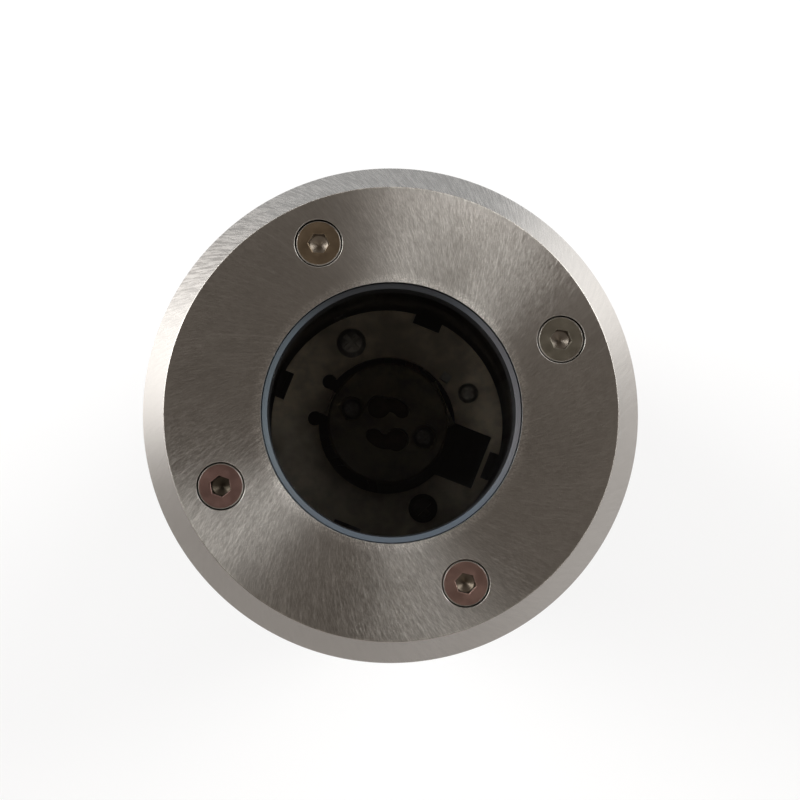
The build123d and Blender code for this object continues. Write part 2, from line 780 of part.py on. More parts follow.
def gland_body():
    """Gland body: thread into the floor, hexagon, and neck for the nut."""
    thread_top = floor_top + entry_boss_height
    body = disc(entry_radius - thread_gap, washer_low - 1, thread_top)
    body += hexagon(entry_hex, hex_low, washer_low)
    body += disc(gland_neck_radius, neck_low, hex_low + 1)
    body -= disc(gland_bore_radius - gland_throat_step, neck_low - 1, thread_top + 1)
    body -= disc(gland_bore_radius, neck_low - 1, seal_top)
    return Pos(entry_x, -entry_half_spacing, 0) * body


def gland_seal():
    """Rubber bush that grips the cable."""
    outer = gland_bore_radius - gland_seal_gap
    inwards, upwards = gland_seal_taper
    bush = turned_profile([
        (gland_seal_bore, seal_low), (outer - inwards, seal_low), (outer, seal_low + upwards),
        (outer, seal_top), (gland_seal_bore, seal_top)])
    return Pos(entry_x, -entry_half_spacing, 0) * bush


def gland_nut():
    """Dome nut that squeezes the seal."""
    top = hex_low - gland_nut_standoff
    low = nut_shoulder - gland_nut_wall_end
    grip_low = low + gland_dome_height
    outer_step, inner_step = gland_dome_shoulder
    nut = hexagon(gland_nut_hex, grip_low, top)
    nut += turned_profile([
        (0, low), (gland_nut_mouth + gland_dome_rim, low),
        (gland_nut_hex / 2 - outer_step, grip_low - gland_dome_rim),
        (gland_nut_hex / 2 - inner_step, grip_low), (0, grip_low)])
    nut -= disc(gland_neck_radius + thread_gap, nut_shoulder, top + 1)
    nut -= disc(gland_nut_mouth, low - 1, top + 1)
    return Pos(entry_x, -entry_half_spacing, 0) * nut


def blanking_plug():
    """Hexagon plug in the second entry, hollow inside."""
    thread_top = floor_top + entry_boss_height
    plug = disc(entry_radius - thread_gap, washer_low - 1, thread_top)
    plug += hexagon(entry_hex, hex_low, washer_low)
    plug -= disc(entry_radius - plug_wall, floor_low - plug_floor, thread_top + 1)
    return Pos(entry_x, entry_half_spacing, 0) * plug


# ---------------------------------------------------------------- writing the pieces
def save(name, shape):
    """Write one piece, or a group of like pieces, turned to its place in the plan."""
    solids = shape if isinstance(shape, list) else [shape]
    placed = [Rot(0, 0, plan_turn) * one for one in solids]
    bodies = [solid for one in placed for solid in one.solids()]
    export_step(bodies[0] if len(bodies) == 1 else Compound(children=bodies), f"parts/{name}.step")


os.makedirs("parts", exist_ok=True)
export_step(mounting_sleeve(), "parts/mounting_sleeve.step")
save("housing", housing())
save("face_plate", face_plate())
save("lens_glass", lens_glass())
save("lens_gasket", lens_gasket())
for number in range(cover_screw_count):
    save(f"cover_screw_{number + 1}", cover_screw(number))
save("mounting_plate", mounting_plate())
save("plate_screws", plate_screws())
save("lampholder_cap", lampholder_cap())
save("lampholder_base", lampholder_base())
save("lampholder_contacts", lampholder_contacts())
save("lampholder_screws", lampholder_screws())
save("lampholder_nuts", lampholder_nuts())
save("earth_tag", earth_tag())
save("earth_screw", earth_screw())
save("earth_nut", earth_nut())
save("terminal_block", terminal_block())
save("terminal_inserts", terminal_inserts())
save("terminal_screws", terminal_screws())
save("block_screws", block_screws())
save("lamp_lead_live", lamp_lead_live())
save("lamp_lead_neutral", lamp_lead_neutral())
save("earth_lead", earth_lead())
save("gland_body", gland_body())
save("gland_washer", entry_washer(-1))
save("gland_seal", gland_seal())
save("gland_nut", gland_nut())
save("blanking_plug", blanking_plug())
save("plug_washer", entry_washer(1))
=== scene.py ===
import json
import math

import bmesh
import bpy
import numpy as np
from mathutils import Matrix, Vector


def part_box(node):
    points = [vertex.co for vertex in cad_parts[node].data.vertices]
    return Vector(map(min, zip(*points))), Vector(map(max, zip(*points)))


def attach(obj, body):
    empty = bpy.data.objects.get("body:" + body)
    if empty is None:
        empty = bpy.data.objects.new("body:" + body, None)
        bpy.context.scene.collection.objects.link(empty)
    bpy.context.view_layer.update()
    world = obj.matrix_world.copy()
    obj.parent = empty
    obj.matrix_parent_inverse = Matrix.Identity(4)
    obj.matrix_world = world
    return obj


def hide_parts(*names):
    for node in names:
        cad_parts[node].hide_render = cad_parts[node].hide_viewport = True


# Looks of the in-ground well light. Sizes are millimetres; meshes are written in metres.

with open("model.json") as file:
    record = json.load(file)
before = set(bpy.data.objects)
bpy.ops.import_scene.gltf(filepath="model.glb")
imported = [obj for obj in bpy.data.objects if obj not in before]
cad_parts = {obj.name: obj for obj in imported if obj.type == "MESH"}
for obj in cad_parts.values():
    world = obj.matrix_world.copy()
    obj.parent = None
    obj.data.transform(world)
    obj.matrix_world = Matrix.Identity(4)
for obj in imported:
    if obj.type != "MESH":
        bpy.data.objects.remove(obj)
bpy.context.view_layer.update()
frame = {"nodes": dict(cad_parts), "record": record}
MM = 0.001


# ---------------------------------------------------------------- sizes, from the frame and by name
def reach(node):
    """Largest distance from the light's axis to a side of the node's box, in millimetres."""
    low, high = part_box(node)
    return max(-low.x, high.x, -low.y, high.y) / MM


def levels(node):
    """Lowest and highest level of a node, in millimetres."""
    low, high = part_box(node)
    return low.z / MM, high.z / MM


plan_turn = math.radians(23.4)          # first cover screw from +X

cover_edge = reach("face_plate")
cover_low, face_z = levels("face_plate")
bevel_width = 5.2
bevel_drop = 4.5
face_edge = cover_edge - bevel_width
window_edge = 28.6
screw_circle = 40.6
pocket_edge = 5.25
shank_hole = 3.3
face_margin = 0.6                       # turned rim of the face, beside the window and the bevel
foot_margin = 0.8                       # the same at the outer edge of the underside
hole_margin = 0.5                       # and round a hole

screw_end, head_top = levels("cover_screw_1")
head_edge = 5.0
head_height = 4.0
head_seat = head_top - head_height
head_chamfer = 0.25
head_flat = head_edge - head_chamfer
shank_edge = 3.0
shank_fillet = 0.3
shank_tip = 0.6                         # the shank's end is narrower by this
thread_pitch = 1.0
thread_depth = 0.55
thread_play = 0.02
thread_start = head_seat - 1.2
thread_end = screw_end + 0.5
socket_flats = 4.0
socket_depth = 2.2
socket_cone = 0.9
socket_mouth = ((0.0, 0.17), (0.02, 0.13), (0.12, 0.02), (0.16, 0.0))   # widening, drop from the top
socket_turns = (21.0, 28.0, 10.0, 17.0)                                 # degrees, by screw

gasket_edge = 36.0
gasket_mouth = 27.3
gasket_lip = 1.0
collar_edge = 28.5
collar_top = face_z - 0.5
collar_fall = 0.6
glass_edge = 34.8
glass_low, glass_top = levels("lens_glass")
shelf_z = levels("lens_gasket")[0]
shelf_edge = 33.6

cup_edge = 36.4                         # inside of the housing: its wall,
cup_floor = 48.6                        # and its floor
well_edge = 46.0                        # painted shade on the floor inside the sleeve, up to here
plate_reach = 26.0                      # the painted light gradient of the inner parts runs from this far front to this far back


def screw_place(index):
    """Plan position of a cover screw's axis, in millimetres."""
    middle = plan_turn + index * math.pi / 2
    return screw_circle * np.array([math.cos(middle), math.sin(middle)])


# ---------------------------------------------------------------- surfaces
ARC_SUPPORT = 0.03                      # from the end of a rounding to the point beside it
POINT_GRID = 2000                       # points that share a cell of 1 / 2000 mm are one
WELD = 2e-6                             # metres within which points of a CAD copy are one
FLAT_ANGLE = 0.2                        # degrees between faces that become one
SMOOTH_ANGLE = 30.0                     # edges of a CAD copy that are sharper stay sharp
SOFT_ANGLE = 40.0                       # and are rounded above this, where the edge is soft


def circle_angles(count, first=0.0):
    """Even angles round a full turn, the last equal to the first plus a full turn."""
    return first + np.linspace(0.0, 2.0 * math.pi, count + 1)


def rounded(corners, steps=4):
    """Outline through corners (radius, level, rounding), each corner replaced by an arc.

    Points lie evenly along the arc that is tangent to both sides, and one more point stands just
    outside each end of the arc, so that the flat stretch beside it stays flat in shading."""
    table = np.array(corners, float)
    corners = table[:, :2]
    points = []
    for k, (corner, rounding) in enumerate(zip(corners, table[:, 2])):
        if rounding == 0:
            points.append(corner)
            continue
        back = corners[k - 1] - corner
        ahead = corners[k + 1] - corner
        back_unit = back / np.linalg.norm(back)
        ahead_unit = ahead / np.linalg.norm(ahead)
        half = math.acos(np.clip(back_unit @ ahead_unit, -1, 1)) / 2
        tangent = rounding / math.tan(half)
        middle = back_unit + ahead_unit
        centre = corner + middle / np.linalg.norm(middle) * rounding / math.sin(half)
        start = corner + back_unit * tangent
        end = corner + ahead_unit * tangent
        points.append(start + back_unit * ARC_SUPPORT)
        for share in np.linspace(0, 1, steps + 1):
            spoke = (1 - share) * (start - centre) + share * (end - centre)
            points.append(centre + spoke / np.linalg.norm(spoke) * rounding)
        points.append(end + ahead_unit * ARC_SUPPORT)
    return np.array(points)


def turned(outline, angles, centre=(0.0, 0.0)):
    """Surface of revolution: each outline point (radius, level) goes round the centre at the angles."""
    radius = outline[:, 0][:, None]
    x = centre[0] + radius * np.cos(angles)[None, :]
    y = centre[1] + radius * np.sin(angles)[None, :]
    z = np.repeat(outline[:, 1][:, None], len(angles), axis=1)
    return np.stack([x, y, z], axis=-1)


def placed(name, mesh, work, body, material, node, sharp):
    """Object for a worked mesh: smooth, with edges over the sharp angle kept, one finish, and the
    body and CAD node it stands for."""
    work.to_mesh(mesh)
    work.free()
    mesh.polygons.foreach_set("use_smooth", np.ones(len(mesh.polygons), bool))
    mesh.set_sharp_from_angle(angle=math.radians(sharp))
    mesh.materials.append(material)
    made = bpy.data.objects.new(name, mesh)
    bpy.context.scene.collection.objects.link(made)
    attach(made, body)
    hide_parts(node)
    return made


def piece(name, patches, body, material, node, sharp=32.0):
    """Closed mesh from grids of points (rows, columns, 3): neighbours in a grid make quads, points
    that coincide are welded, and faces are turned outwards."""
    points, quads, start = [], [], 0
    for patch in patches:
        rows, cols = patch.shape[:2]
        index = start + np.arange(rows * cols).reshape(rows, cols)
        corners = [index[:-1, :-1], index[:-1, 1:], index[1:, 1:], index[1:, :-1]]
        quads.append(np.stack(corners, -1).reshape(-1, 4))
        points.append(patch.reshape(-1, 3))
        start += rows * cols
    points = np.concatenate(points)
    keys = np.round(points * POINT_GRID).astype(np.int64)
    _, first, place = np.unique(keys, axis=0, return_index=True, return_inverse=True)
    quads = place.reshape(-1)[np.concatenate(quads)]
    repeats = sum((quads[:, k] == quads[:, (k + 1) % 4]).astype(int) for k in range(4))
    faces = quads[repeats == 0].tolist()
    faces += [list(dict.fromkeys(quad)) for quad in quads[repeats == 1].tolist()]
    mesh = bpy.data.meshes.new(name)
    mesh.from_pydata((points[first] * MM).tolist(), [], faces)
    work = bmesh.new()
    work.from_mesh(mesh)
    bmesh.ops.remove_doubles(work, verts=work.verts, dist=1e-7)
    bmesh.ops.recalc_face_normals(work, faces=work.faces)
    placed(name, mesh, work, body, material, node, sharp)


def refined(node, body, material, soft_edge):
    """Smooth copy of a CAD node: its loose triangles are merged, flat faces and the flats of a curve
    become one face each, curved faces shade as curves, and moulded or cast edges are rounded."""
    name = node + "_finish"
    work = bmesh.new()
    work.from_mesh(frame["nodes"][node].data)
    bmesh.ops.remove_doubles(work, verts=work.verts, dist=WELD)
    bmesh.ops.dissolve_limit(work, angle_limit=math.radians(FLAT_ANGLE), verts=work.verts,
                             edges=work.edges)
    made = placed(name, bpy.data.meshes.new(name), work, body, material, node, SMOOTH_ANGLE)
    if soft_edge:
        rounding = made.modifiers.new("soft_edge", "BEVEL")
        rounding.width = soft_edge * MM
        rounding.segments = 2
        rounding.limit_method = "ANGLE"
        rounding.angle_limit = math.radians(SOFT_ANGLE)
        rounding.harden_normals = True


# ---------------------------------------------------------------- node helpers
def compass(angle):
    """Unit vector in the plan at an angle in degrees from +X."""
    return (math.cos(math.radians(angle)), math.sin(math.radians(angle)), 0.0)


def shaded(tint, share, lift=0.0):
    """A colour times a share, plus a lift."""
    return tuple(share * value + lift for value in tint)


class Nodes:
    """A node tree, and short calls that add a node and link it."""

    def __init__(self, tree):
        self.tree = tree

    def node(self, kind, **settings):
        made = self.tree.nodes.new("ShaderNode" + kind)
        for key, value in settings.items():
            setattr(made, key, value)
        return made

    def feed(self, socket, value):
        if isinstance(value, bpy.types.NodeSocket):
            self.tree.links.new(value, socket)
        else:
            socket.default_value = value

    def math(self, operation, a, b=0.0, c=0.0):
        made = self.node("Math", operation=operation)
        for socket, value in zip(made.inputs, (a, b, c)):
            self.feed(socket, value)
        return made.outputs[0]

    def product(self, first, *others):
        for other in others:
            first = self.math("MULTIPLY", first, other)
        return first

    def vector(self, operation, a, b=(0, 0, 0)):
        made = self.node("VectorMath", operation=operation)
        self.feed(made.inputs[0], a)
        if operation == "SCALE":
            self.feed(made.inputs["Scale"], b)
            return made.outputs[0]
        self.feed(made.inputs[1], b)
        number = operation in ("LENGTH", "DISTANCE", "DOT_PRODUCT")
        return made.outputs["Value" if number else "Vector"]

    def turn(self, vector, angle):
        """The vector turned about the light's axis by an angle in radians."""
        made = self.node("VectorRotate", rotation_type="Z_AXIS")
        self.feed(made.inputs["Vector"], vector)
        self.feed(made.inputs["Angle"], angle)
        return made.outputs[0]

    def facing(self, unit, azimuth):
        """Cosine between a unit vector in the plan and an azimuth in degrees."""
        return self.vector("DOT_PRODUCT", unit, compass(azimuth))

    def split(self, vector):
        made = self.node("SeparateXYZ")
        self.feed(made.inputs[0], vector)
        return made.outputs

    def join(self, x, y, z):
        made = self.node("CombineXYZ")
        for socket, value in zip(made.inputs, (x, y, z)):
            self.feed(socket, value)
        return made.outputs[0]

    def noise(self, vector, scale, detail, rough):
        made = self.node("TexNoise")
        self.feed(made.inputs["Vector"], vector)
        self.feed(made.inputs["Scale"], scale)
        self.feed(made.inputs["Detail"], detail)
        self.feed(made.inputs["Roughness"], rough)
        return made.outputs["Fac"]

    def step(self, value, low, high, to_low=0.0, to_high=1.0):
        """Smooth step of a value between two bounds."""
        made = self.node("MapRange", interpolation_type="SMOOTHSTEP")
        for socket, number in zip(made.inputs, (value, low, high, to_low, to_high)):
            self.feed(socket, number)
        return made.outputs[0]

    def rise(self, length, low, high, to_low=0.0, to_high=1.0):
        """Smooth step of a length between two bounds in millimetres."""
        return self.step(length, low * MM, high * MM, to_low, to_high)

    def fall(self, length, low, high):
        """1 below a length in millimetres and 0 above the next."""
        return self.rise(length, low, high, 1.0, 0.0)

    def sway(self, value, noise, amount):
        """The value times 1 plus the noise's distance from a half times the amount."""
        share = self.math("MULTIPLY_ADD", self.math("SUBTRACT", noise, 0.5), amount, 1.0)
        return self.math("MULTIPLY", value, share)

    def mix(self, share, a, b, blend="MIX"):
        made = self.node("Mix", data_type="RGBA", blend_type=blend)
        self.feed(made.inputs["Factor"], share)
        for key, colour in (("A", a), ("B", b)):
            plain = not isinstance(colour, bpy.types.NodeSocket)
            self.feed(made.inputs[key], (*colour, 1.0) if plain else colour)
        return made.outputs["Result"]

    def bump(self, height, distance, strength):
        made = self.node("Bump")
        self.feed(made.inputs["Height"], height)
        self.feed(made.inputs["Distance"], distance)
        self.feed(made.inputs["Strength"], strength)
        return made.outputs["Normal"]

    def seen(self, mirrored=False):
        """1 for rays from the camera, also through glass, with mirrored for glossy rays too, and 0 for
        the rays that light matt surfaces."""
        path = self.node("LightPath")
        bounces = self.math("ADD", path.outputs["Diffuse Depth"], path.outputs["Glossy Depth"])
        direct = self.math("LESS_THAN", bounces, 0.5)
        total = self.math("MULTIPLY", path.outputs["Is Transmission Ray"], direct)
        total = self.math("MAXIMUM", total, path.outputs["Is Camera Ray"])
        return self.math("MAXIMUM", total, path.outputs["Is Glossy Ray"]) if mirrored else total


class Finish(Nodes):
    """One material: constants on its shader's own sockets, and patterns on Object coordinates."""

    def __init__(self, name, **constants):
        self.material = bpy.data.materials.new(name)
        self.material.use_nodes = True
        super().__init__(self.material.node_tree)
        self.shader = self.tree.nodes["Principled BSDF"]
        self.coords = self.node("TexCoord").outputs["Object"]
        self.put(**constants)

    def put(self, **sockets):
        for name, value in sockets.items():
            self.feed(self.shader.inputs[name.replace("_", " ")], value)
        return self.material


def plan_polar(f):
    """Distance from the light's axis, and the unit vector in the plan that points away from it."""
    x, y, _ = f.split(f.coords)
    flat = f.join(x, y, 0.0)
    return f.vector("LENGTH", flat), f.vector("NORMALIZE", flat)


# ---------------------------------------------------------------- stainless cover
SCRATCH_LEAN = 24.0                     # degrees from the radius, counter-clockwise: the scratches,
GLOSS_LEAN = 27.0                       # the finest of them, which spread the gloss,
BEVEL_LEAN = 38.0                       # and the grain of the bevel
SPIRAL_GRAIN = 0.04                     # width of a noise cell against the unit circle

# scratches of the face: lean off SCRATCH_LEAN in degrees, shortening along the scratch, noise scale
# and roughness, noise where a scratch begins and where it is full, and its weight
FACE_SCRATCHES = ((-11.0, 0.12, 4900.0, 0.6, 0.40, 0.62, 1.0),
                  (13.0, 0.17, 4300.0, 0.6, 0.40, 0.64, 1.0),
                  (0.0, 0.045, 2400.0, 0.5, 0.54, 0.66, 0.8),
                  (-50.0, 0.13, 4200.0, 0.6, 0.60, 0.72, 0.5))
HIGHLIGHT_AZIMUTHS = (68.0, 214.0, 277.0)     # azimuths of the painted highlight lobes: scratches painted brighter there, the first lobe also lighter overall
BEVEL_AZIMUTH = 105.0                   # where the bevel's grain shows most
FACE_STEEL = (0.552, 0.538, 0.512)
BEVEL_STEEL = (0.665, 0.645, 0.625)
# painted reflection of the seal in the window's bore
BORE_REFLECTION = (0.15, 0.17, 0.19)
# painted shade inside the screw pockets
POCKET_SHADE = (0.02, 0.018, 0.016)
pocket_inner = 33.0                     # all pocket walls lie between these radii
pocket_outer = face_edge - 0.8


def spiral(f, radius, unit, lean, shorten):
    """Coordinates for scratches that lean from the radius by one angle everywhere: the azimuth is
    turned back by tan(lean) times the logarithm of the radius, and the third axis is the shortened
    radius, so that a noise cell is long and thin."""
    back = -math.tan(math.radians(lean))
    turn = f.math("MULTIPLY", f.math("LOGARITHM", radius, math.e), back)
    x, y, _ = f.split(f.vector("SCALE", f.turn(unit, turn), SPIRAL_GRAIN))
    return f.join(x, y, f.math("MULTIPLY", radius, shorten))


def face_lines(f, radius, unit, cloud):
    """Height of the face's scratches about 0: the families of FACE_SCRATCHES, and sparks, which are
    stronger where the steel's cloud is light."""
    lines = -1.0
    for off, shorten, scale, rough, low, high, weight in FACE_SCRATCHES:
        family = f.noise(spiral(f, radius, unit, SCRATCH_LEAN + off, shorten), scale, 1.0, rough)
        lines = f.math("MULTIPLY_ADD", f.step(family, low, high), weight, lines)
    spark = f.step(f.noise(f.coords, 3300.0, 1.0, 0.6), 0.60, 0.72)
    return f.math("MULTIPLY_ADD", spark, f.step(cloud, 0.35, 0.65, 0.6, 1.6), lines)


def face_tone(f, radius, unit, cloud, lines, worn):
    """Brightness of the face: its scratches, painted brighter in the highlight lobes and stronger at
    the worn window edge, a painted sheen in the first lobe, soft clouds, and a painted highlight along
    the edge to the bevel."""
    smear = f.noise(f.coords, 260.0, 4.0, 0.6)
    speck = f.step(f.noise(f.coords, 2300.0, 2.0, 0.7), 0.45, 0.62)
    first, *others = [f.facing(unit, azimuth) for azimuth in HIGHLIGHT_AZIMUTHS]
    nearest = first
    for other in others:
        nearest = f.math("MAXIMUM", nearest, other)
    # painted highlight: scratches painted brighter in the lobes where they would catch the light
    painted_glint = f.step(nearest, 0.72, 0.97)
    share = f.math("MULTIPLY_ADD", painted_glint, 0.085, f.math("MULTIPLY_ADD", worn, 0.09, 0.045))
    # painted sheen: the face painted lighter over the first lobe, more towards the bevel
    painted_sheen = f.product(f.step(first, 0.78, 0.98), f.rise(radius, 32.0, 49.0, 0.13, 0.30))
    tone = f.math("ADD", f.math("MULTIPLY_ADD", lines, share, 1.0), painted_sheen)
    tone = f.sway(f.sway(tone, cloud, 0.22), smear, 0.16)
    tone = f.math("ADD", tone, f.product(worn, speck, 0.30))
    # painted highlight along the edge to the bevel
    edge_highlight = f.product(f.rise(radius, face_edge - 0.35, face_edge - 0.1), f.step(smear, 0.42, 0.6))
    return f.math("MULTIPLY_ADD", edge_highlight, 0.35, tone)


def brushed_cover():
    """Satin stainless. The abrasive crossed the face at one angle to the radius, so the scratches lie
    on logarithmic spirals, and the anisotropic gloss spreads square to them, turned a little by each
    scratch. The bevel is ground finer; the pockets are painted near black inside as shade, and the bore
    is painted bluish as a reflection of the seal."""
    f = Finish("brushed_cover", Metallic=1.0, Anisotropic=0.9)
    radius, unit = plan_polar(f)
    height = f.split(f.coords)[2]
    bevel = f.rise(radius, face_edge - 0.05, face_edge + 0.1)
    flat = f.math("SUBTRACT", 1.0, bevel)
    cloud = f.noise(f.coords, 75.0, 3.0, 0.5)
    worn = f.fall(radius, window_edge + 0.7, window_edge + 2.4)
    lines = face_lines(f, radius, unit, cloud)
    colour = f.vector("SCALE", FACE_STEEL, face_tone(f, radius, unit, cloud, lines, worn))
    # painted shade: the pocket walls painted near black
    pocket = f.product(f.fall(height, face_z - 0.5, face_z - 0.2),
                       f.rise(radius, pocket_inner, pocket_inner + 0.5),
                       f.fall(radius, pocket_outer - 0.4, pocket_outer))
    colour = f.mix(f.product(pocket, 0.9), colour, POCKET_SHADE)
    # painted reflection: the bore painted bluish as if it mirrored the seal
    bore = f.fall(radius, window_edge + 0.03, window_edge + 0.12)
    colour = f.mix(bore, colour, BORE_REFLECTION)

    grain = f.noise(spiral(f, radius, unit, BEVEL_LEAN, 0.16), 2500.0, 3.0, 0.65)
    strong = f.step(f.facing(unit, BEVEL_AZIMUTH), 0.35, 0.8, 0.2, 1.0)
    grit = f.product(f.math("SUBTRACT", f.step(grain, 0.34, 0.66), 0.5), strong)
    bevel_colour = f.vector("SCALE", BEVEL_STEEL, f.math("MULTIPLY_ADD", grit, 0.24, 1.0))
    face_rough = f.math("MULTIPLY_ADD", lines, 0.04, f.math("MULTIPLY_ADD", worn, 0.05, 0.35))
    bevel_rough = f.math("MULTIPLY_ADD", grit, 0.10, 0.26)
    across = f.math("MULTIPLY_ADD", lines, 0.02, math.radians(GLOSS_LEAN + 90.0))
    relief = f.math("ADD", f.product(lines, flat), f.product(grit, bevel, 1.6))
    return f.put(Base_Color=f.mix(bevel, colour, bevel_colour), Tangent=f.turn(unit, across),
                 Roughness=f.math("ADD", f.product(face_rough, flat), f.product(bevel_rough, bevel)),
                 Normal=f.bump(relief, 0.000006, 0.25))


def turned_screw(name, index, tint, socket_painted_light):
    """Turned stainless head: a heat tint and small stains on its face, a painted highlight on the
    chamfer, and a socket painted lighter as if it mirrored side light.
    """
    f = Finish(name, Metallic=1.0)
    x, y, height = f.split(f.coords)
    centre = (*screw_place(index) * MM, 0.0)
    from_screw = f.vector("DISTANCE", f.join(x, y, 0.0), centre)
    # painted highlight: the ring of the head's chamfer
    rim = f.product(f.rise(from_screw, head_flat - 0.05, head_flat + 0.03),
                    f.rise(height, head_top - 0.5, head_top - 0.35))
    socket_reach = 0.65 * socket_flats
    socket = f.product(f.fall(from_screw, socket_reach, socket_reach + 0.1),
                       f.fall(height, head_top - 0.12, head_top - 0.04))
    stain = f.noise(f.coords, 420.0, 4.0, 0.6)
    blotch = f.noise(f.coords, 130.0, 2.0, 0.5)
    colour = f.mix(f.step(stain, 0.35, 0.7), tint, shaded(tint, 1.15))
    colour = f.mix(f.step(blotch, 0.45, 0.75, 0.0, 0.35), colour, shaded(tint, 0.8))
    colour = f.mix(f.rise(height, head_seat - 0.1, head_seat + 0.1), (0.45, 0.43, 0.41), colour)
    # painted highlight: the chamfer painted bright
    colour = f.mix(rim, colour, (0.72, 0.69, 0.65))
    # painted light: the socket painted lighter as if it mirrored side light
    return f.put(Base_Color=f.mix(socket, colour, socket_painted_light),
                 Roughness=f.math("MULTIPLY_ADD", stain, 0.2, 0.26),
                 Normal=f.bump(stain, 0.00002, 0.3))


# ---------------------------------------------------------------- seals, glass and inner parts
def seal_rubber(name, tint, rough=0.55):
    """Moulded rubber: even colour, a little dust and a fine skin."""
    f = Finish(name)
    dust = f.noise(f.coords, 600.0, 4.0, 0.65)
    patch = f.noise(f.coords, 90.0, 2.0, 0.5)
    colour = f.mix(f.step(dust, 0.5, 0.8, 0.0, 0.35), tint, shaded(tint, 1.5, 0.03))
    colour = f.mix(f.step(patch, 0.4, 0.7, 0.0, 0.25), colour, shaded(tint, 0.75))
    return f.put(Base_Color=colour, Roughness=f.math("MULTIPLY_ADD", dust, 0.2, rough - 0.1),
                 Normal=f.bump(dust, 0.00003, 0.4))


def collar_rubber():
    """Silicone of the window seal: blue-grey and dusty, with painted shade that makes it greyer on the
    right, darker at the front and near black at the back, and painted near black below the collar's
    slope as shade."""
    f = Finish("collar_rubber")
    _, unit = plan_polar(f)
    dust = f.noise(f.coords, 600.0, 4.0, 0.65)
    colour = f.mix(f.step(dust, 0.5, 0.8, 0.0, 0.25), (0.070, 0.090, 0.107), (0.11, 0.125, 0.14))
    # painted shade by side: greyer on the right, darker at the front, near black at the back
    for azimuth, low, high, tint in ((5.0, 0.35, 0.9, (0.066, 0.067, 0.075)),
                                     (270.0, 0.1, 0.9, (0.047, 0.060, 0.075)),
                                     (92.0, 0.60, 0.97, (0.023, 0.025, 0.029))):
        colour = f.mix(f.step(f.facing(unit, azimuth), low, high), colour, tint)
    # painted shade: near black below the collar's slope
    slope_foot = collar_top - collar_fall - 0.1
    above_shade = f.rise(f.split(f.coords)[2], slope_foot - 0.1, slope_foot + 0.1)
    return f.put(Base_Color=f.mix(above_shade, (0.005, 0.005, 0.006), colour),
                 Roughness=f.math("MULTIPLY_ADD", dust, 0.2, 0.45),
                 Normal=f.bump(dust, 0.00003, 0.4))


def clear_glass():
    """Toughened glass with a trace of green in its thickness and a breath of haze."""
    f = Finish("clear_glass", Base_Color=(0.97, 0.99, 0.98, 1.0), IOR=1.5, Transmission_Weight=1.0)
    haze = f.noise(f.coords, 60.0, 3.0, 0.5)
    return f.put(Roughness=f.step(haze, 0.55, 0.9, 0.0, 0.03))


def powder_cast():
    """Dark powder coat over a casting: fine orange peel over soft mould marks, and painted shade inside
    the cup, which is near black."""
    f = Finish("powder_cast")
    tint = (0.075, 0.075, 0.078)
    radius, _ = plan_polar(f)
    height = f.split(f.coords)[2]
    # painted shade: the cup's inside painted near black
    inside = f.product(f.fall(radius, cup_edge, cup_edge + 0.4),
                       f.rise(height, cup_floor, cup_floor + 0.4), 0.95)
    peel = f.noise(f.coords, 1400.0, 2.0, 0.5)
    mould = f.noise(f.coords, 110.0, 3.0, 0.5)
    colour = f.mix(f.step(mould, 0.35, 0.7, 0.0, 0.6), tint, shaded(tint, 1.5))
    return f.put(Base_Color=f.mix(inside, colour, (0.013, 0.008, 0.006)),
                 Roughness=f.math("MULTIPLY_ADD", peel, 0.2, 0.42),
                 Normal=f.bump(f.math("ADD", peel, mould), 0.00006, 0.5))


def moulded_plastic(name, tint, rough=0.5, grain=700.0):
    """Moulded plastic: spark-eroded grain, flow marks and a slightly uneven gloss."""
    f = Finish(name)
    pits = f.noise(f.coords, grain, 3.0, 0.6)
    flow = f.noise(f.vector("MULTIPLY", f.coords, (1, 1, 0.25)), 45.0, 3.0, 0.5)
    colour = f.mix(f.step(flow, 0.35, 0.7, 0.0, 0.5), tint, shaded(tint, 1.35, 0.004))
    return f.put(Base_Color=colour, Roughness=f.math("MULTIPLY_ADD", flow, 0.15, rough - 0.07),
                 Normal=f.bump(pits, 0.00005, 0.35))


def painted_light_gradient(f, colour, front, back):
    """The colour times a share that goes from front to back: painted light, lighter towards the back.
    """
    y = f.split(f.coords)[1]
    return f.vector("SCALE", colour, f.rise(y, -plate_reach, plate_reach, front, back))


def plated(name, tint, spangle, front=1.0, back=1.0):
    """Plated metal: mottled passivation over a rolled sheet, with a painted light gradient from front
    to back.
    """
    f = Finish(name, Metallic=1.0)
    mottle = f.noise(f.coords, 260.0, 4.0, 0.6)
    broad = f.noise(f.coords, 60.0, 3.0, 0.5)
    colour = f.mix(f.step(mottle, 0.3, 0.7), tint, spangle)
    colour = f.mix(f.step(broad, 0.4, 0.7, 0.0, 0.6), colour, shaded(tint, 0.55))
    return f.put(Base_Color=painted_light_gradient(f, colour, front, back),
                 Roughness=f.math("MULTIPLY_ADD", mottle, 0.25, 0.35),
                 Normal=f.bump(mottle, 0.00003, 0.4))


def ceramic():
    """Unglazed steatite: very dark warm brown with fine pores and grime, and painted light, lighter
    towards the back.
    """
    f = Finish("ceramic")
    pores = f.noise(f.coords, 1500.0, 3.0, 0.7)
    grime = f.noise(f.coords, 150.0, 4.0, 0.6)
    colour = f.mix(f.step(grime, 0.35, 0.75), (0.056, 0.043, 0.023), (0.026, 0.020, 0.011))
    return f.put(Base_Color=painted_light_gradient(f, colour, 0.6, 2.0), Roughness=0.75,
                 Normal=f.bump(pores, 0.00004, 0.5))


# ---------------------------------------------------------------- cover
half_sector = math.pi / 8   # the flat faces are made in eighths of a turn
sector_steps = 64           # points of an eighth
sector_rows = 22            # points between the inner and outer edge
row_crowding = 0.6          # how much closer they stand at both edges
hole_rings = (0.0, 0.02, 0.06, 0.12, 0.2, 0.3, 0.42, 0.55, 0.7, 0.85, 1.0)


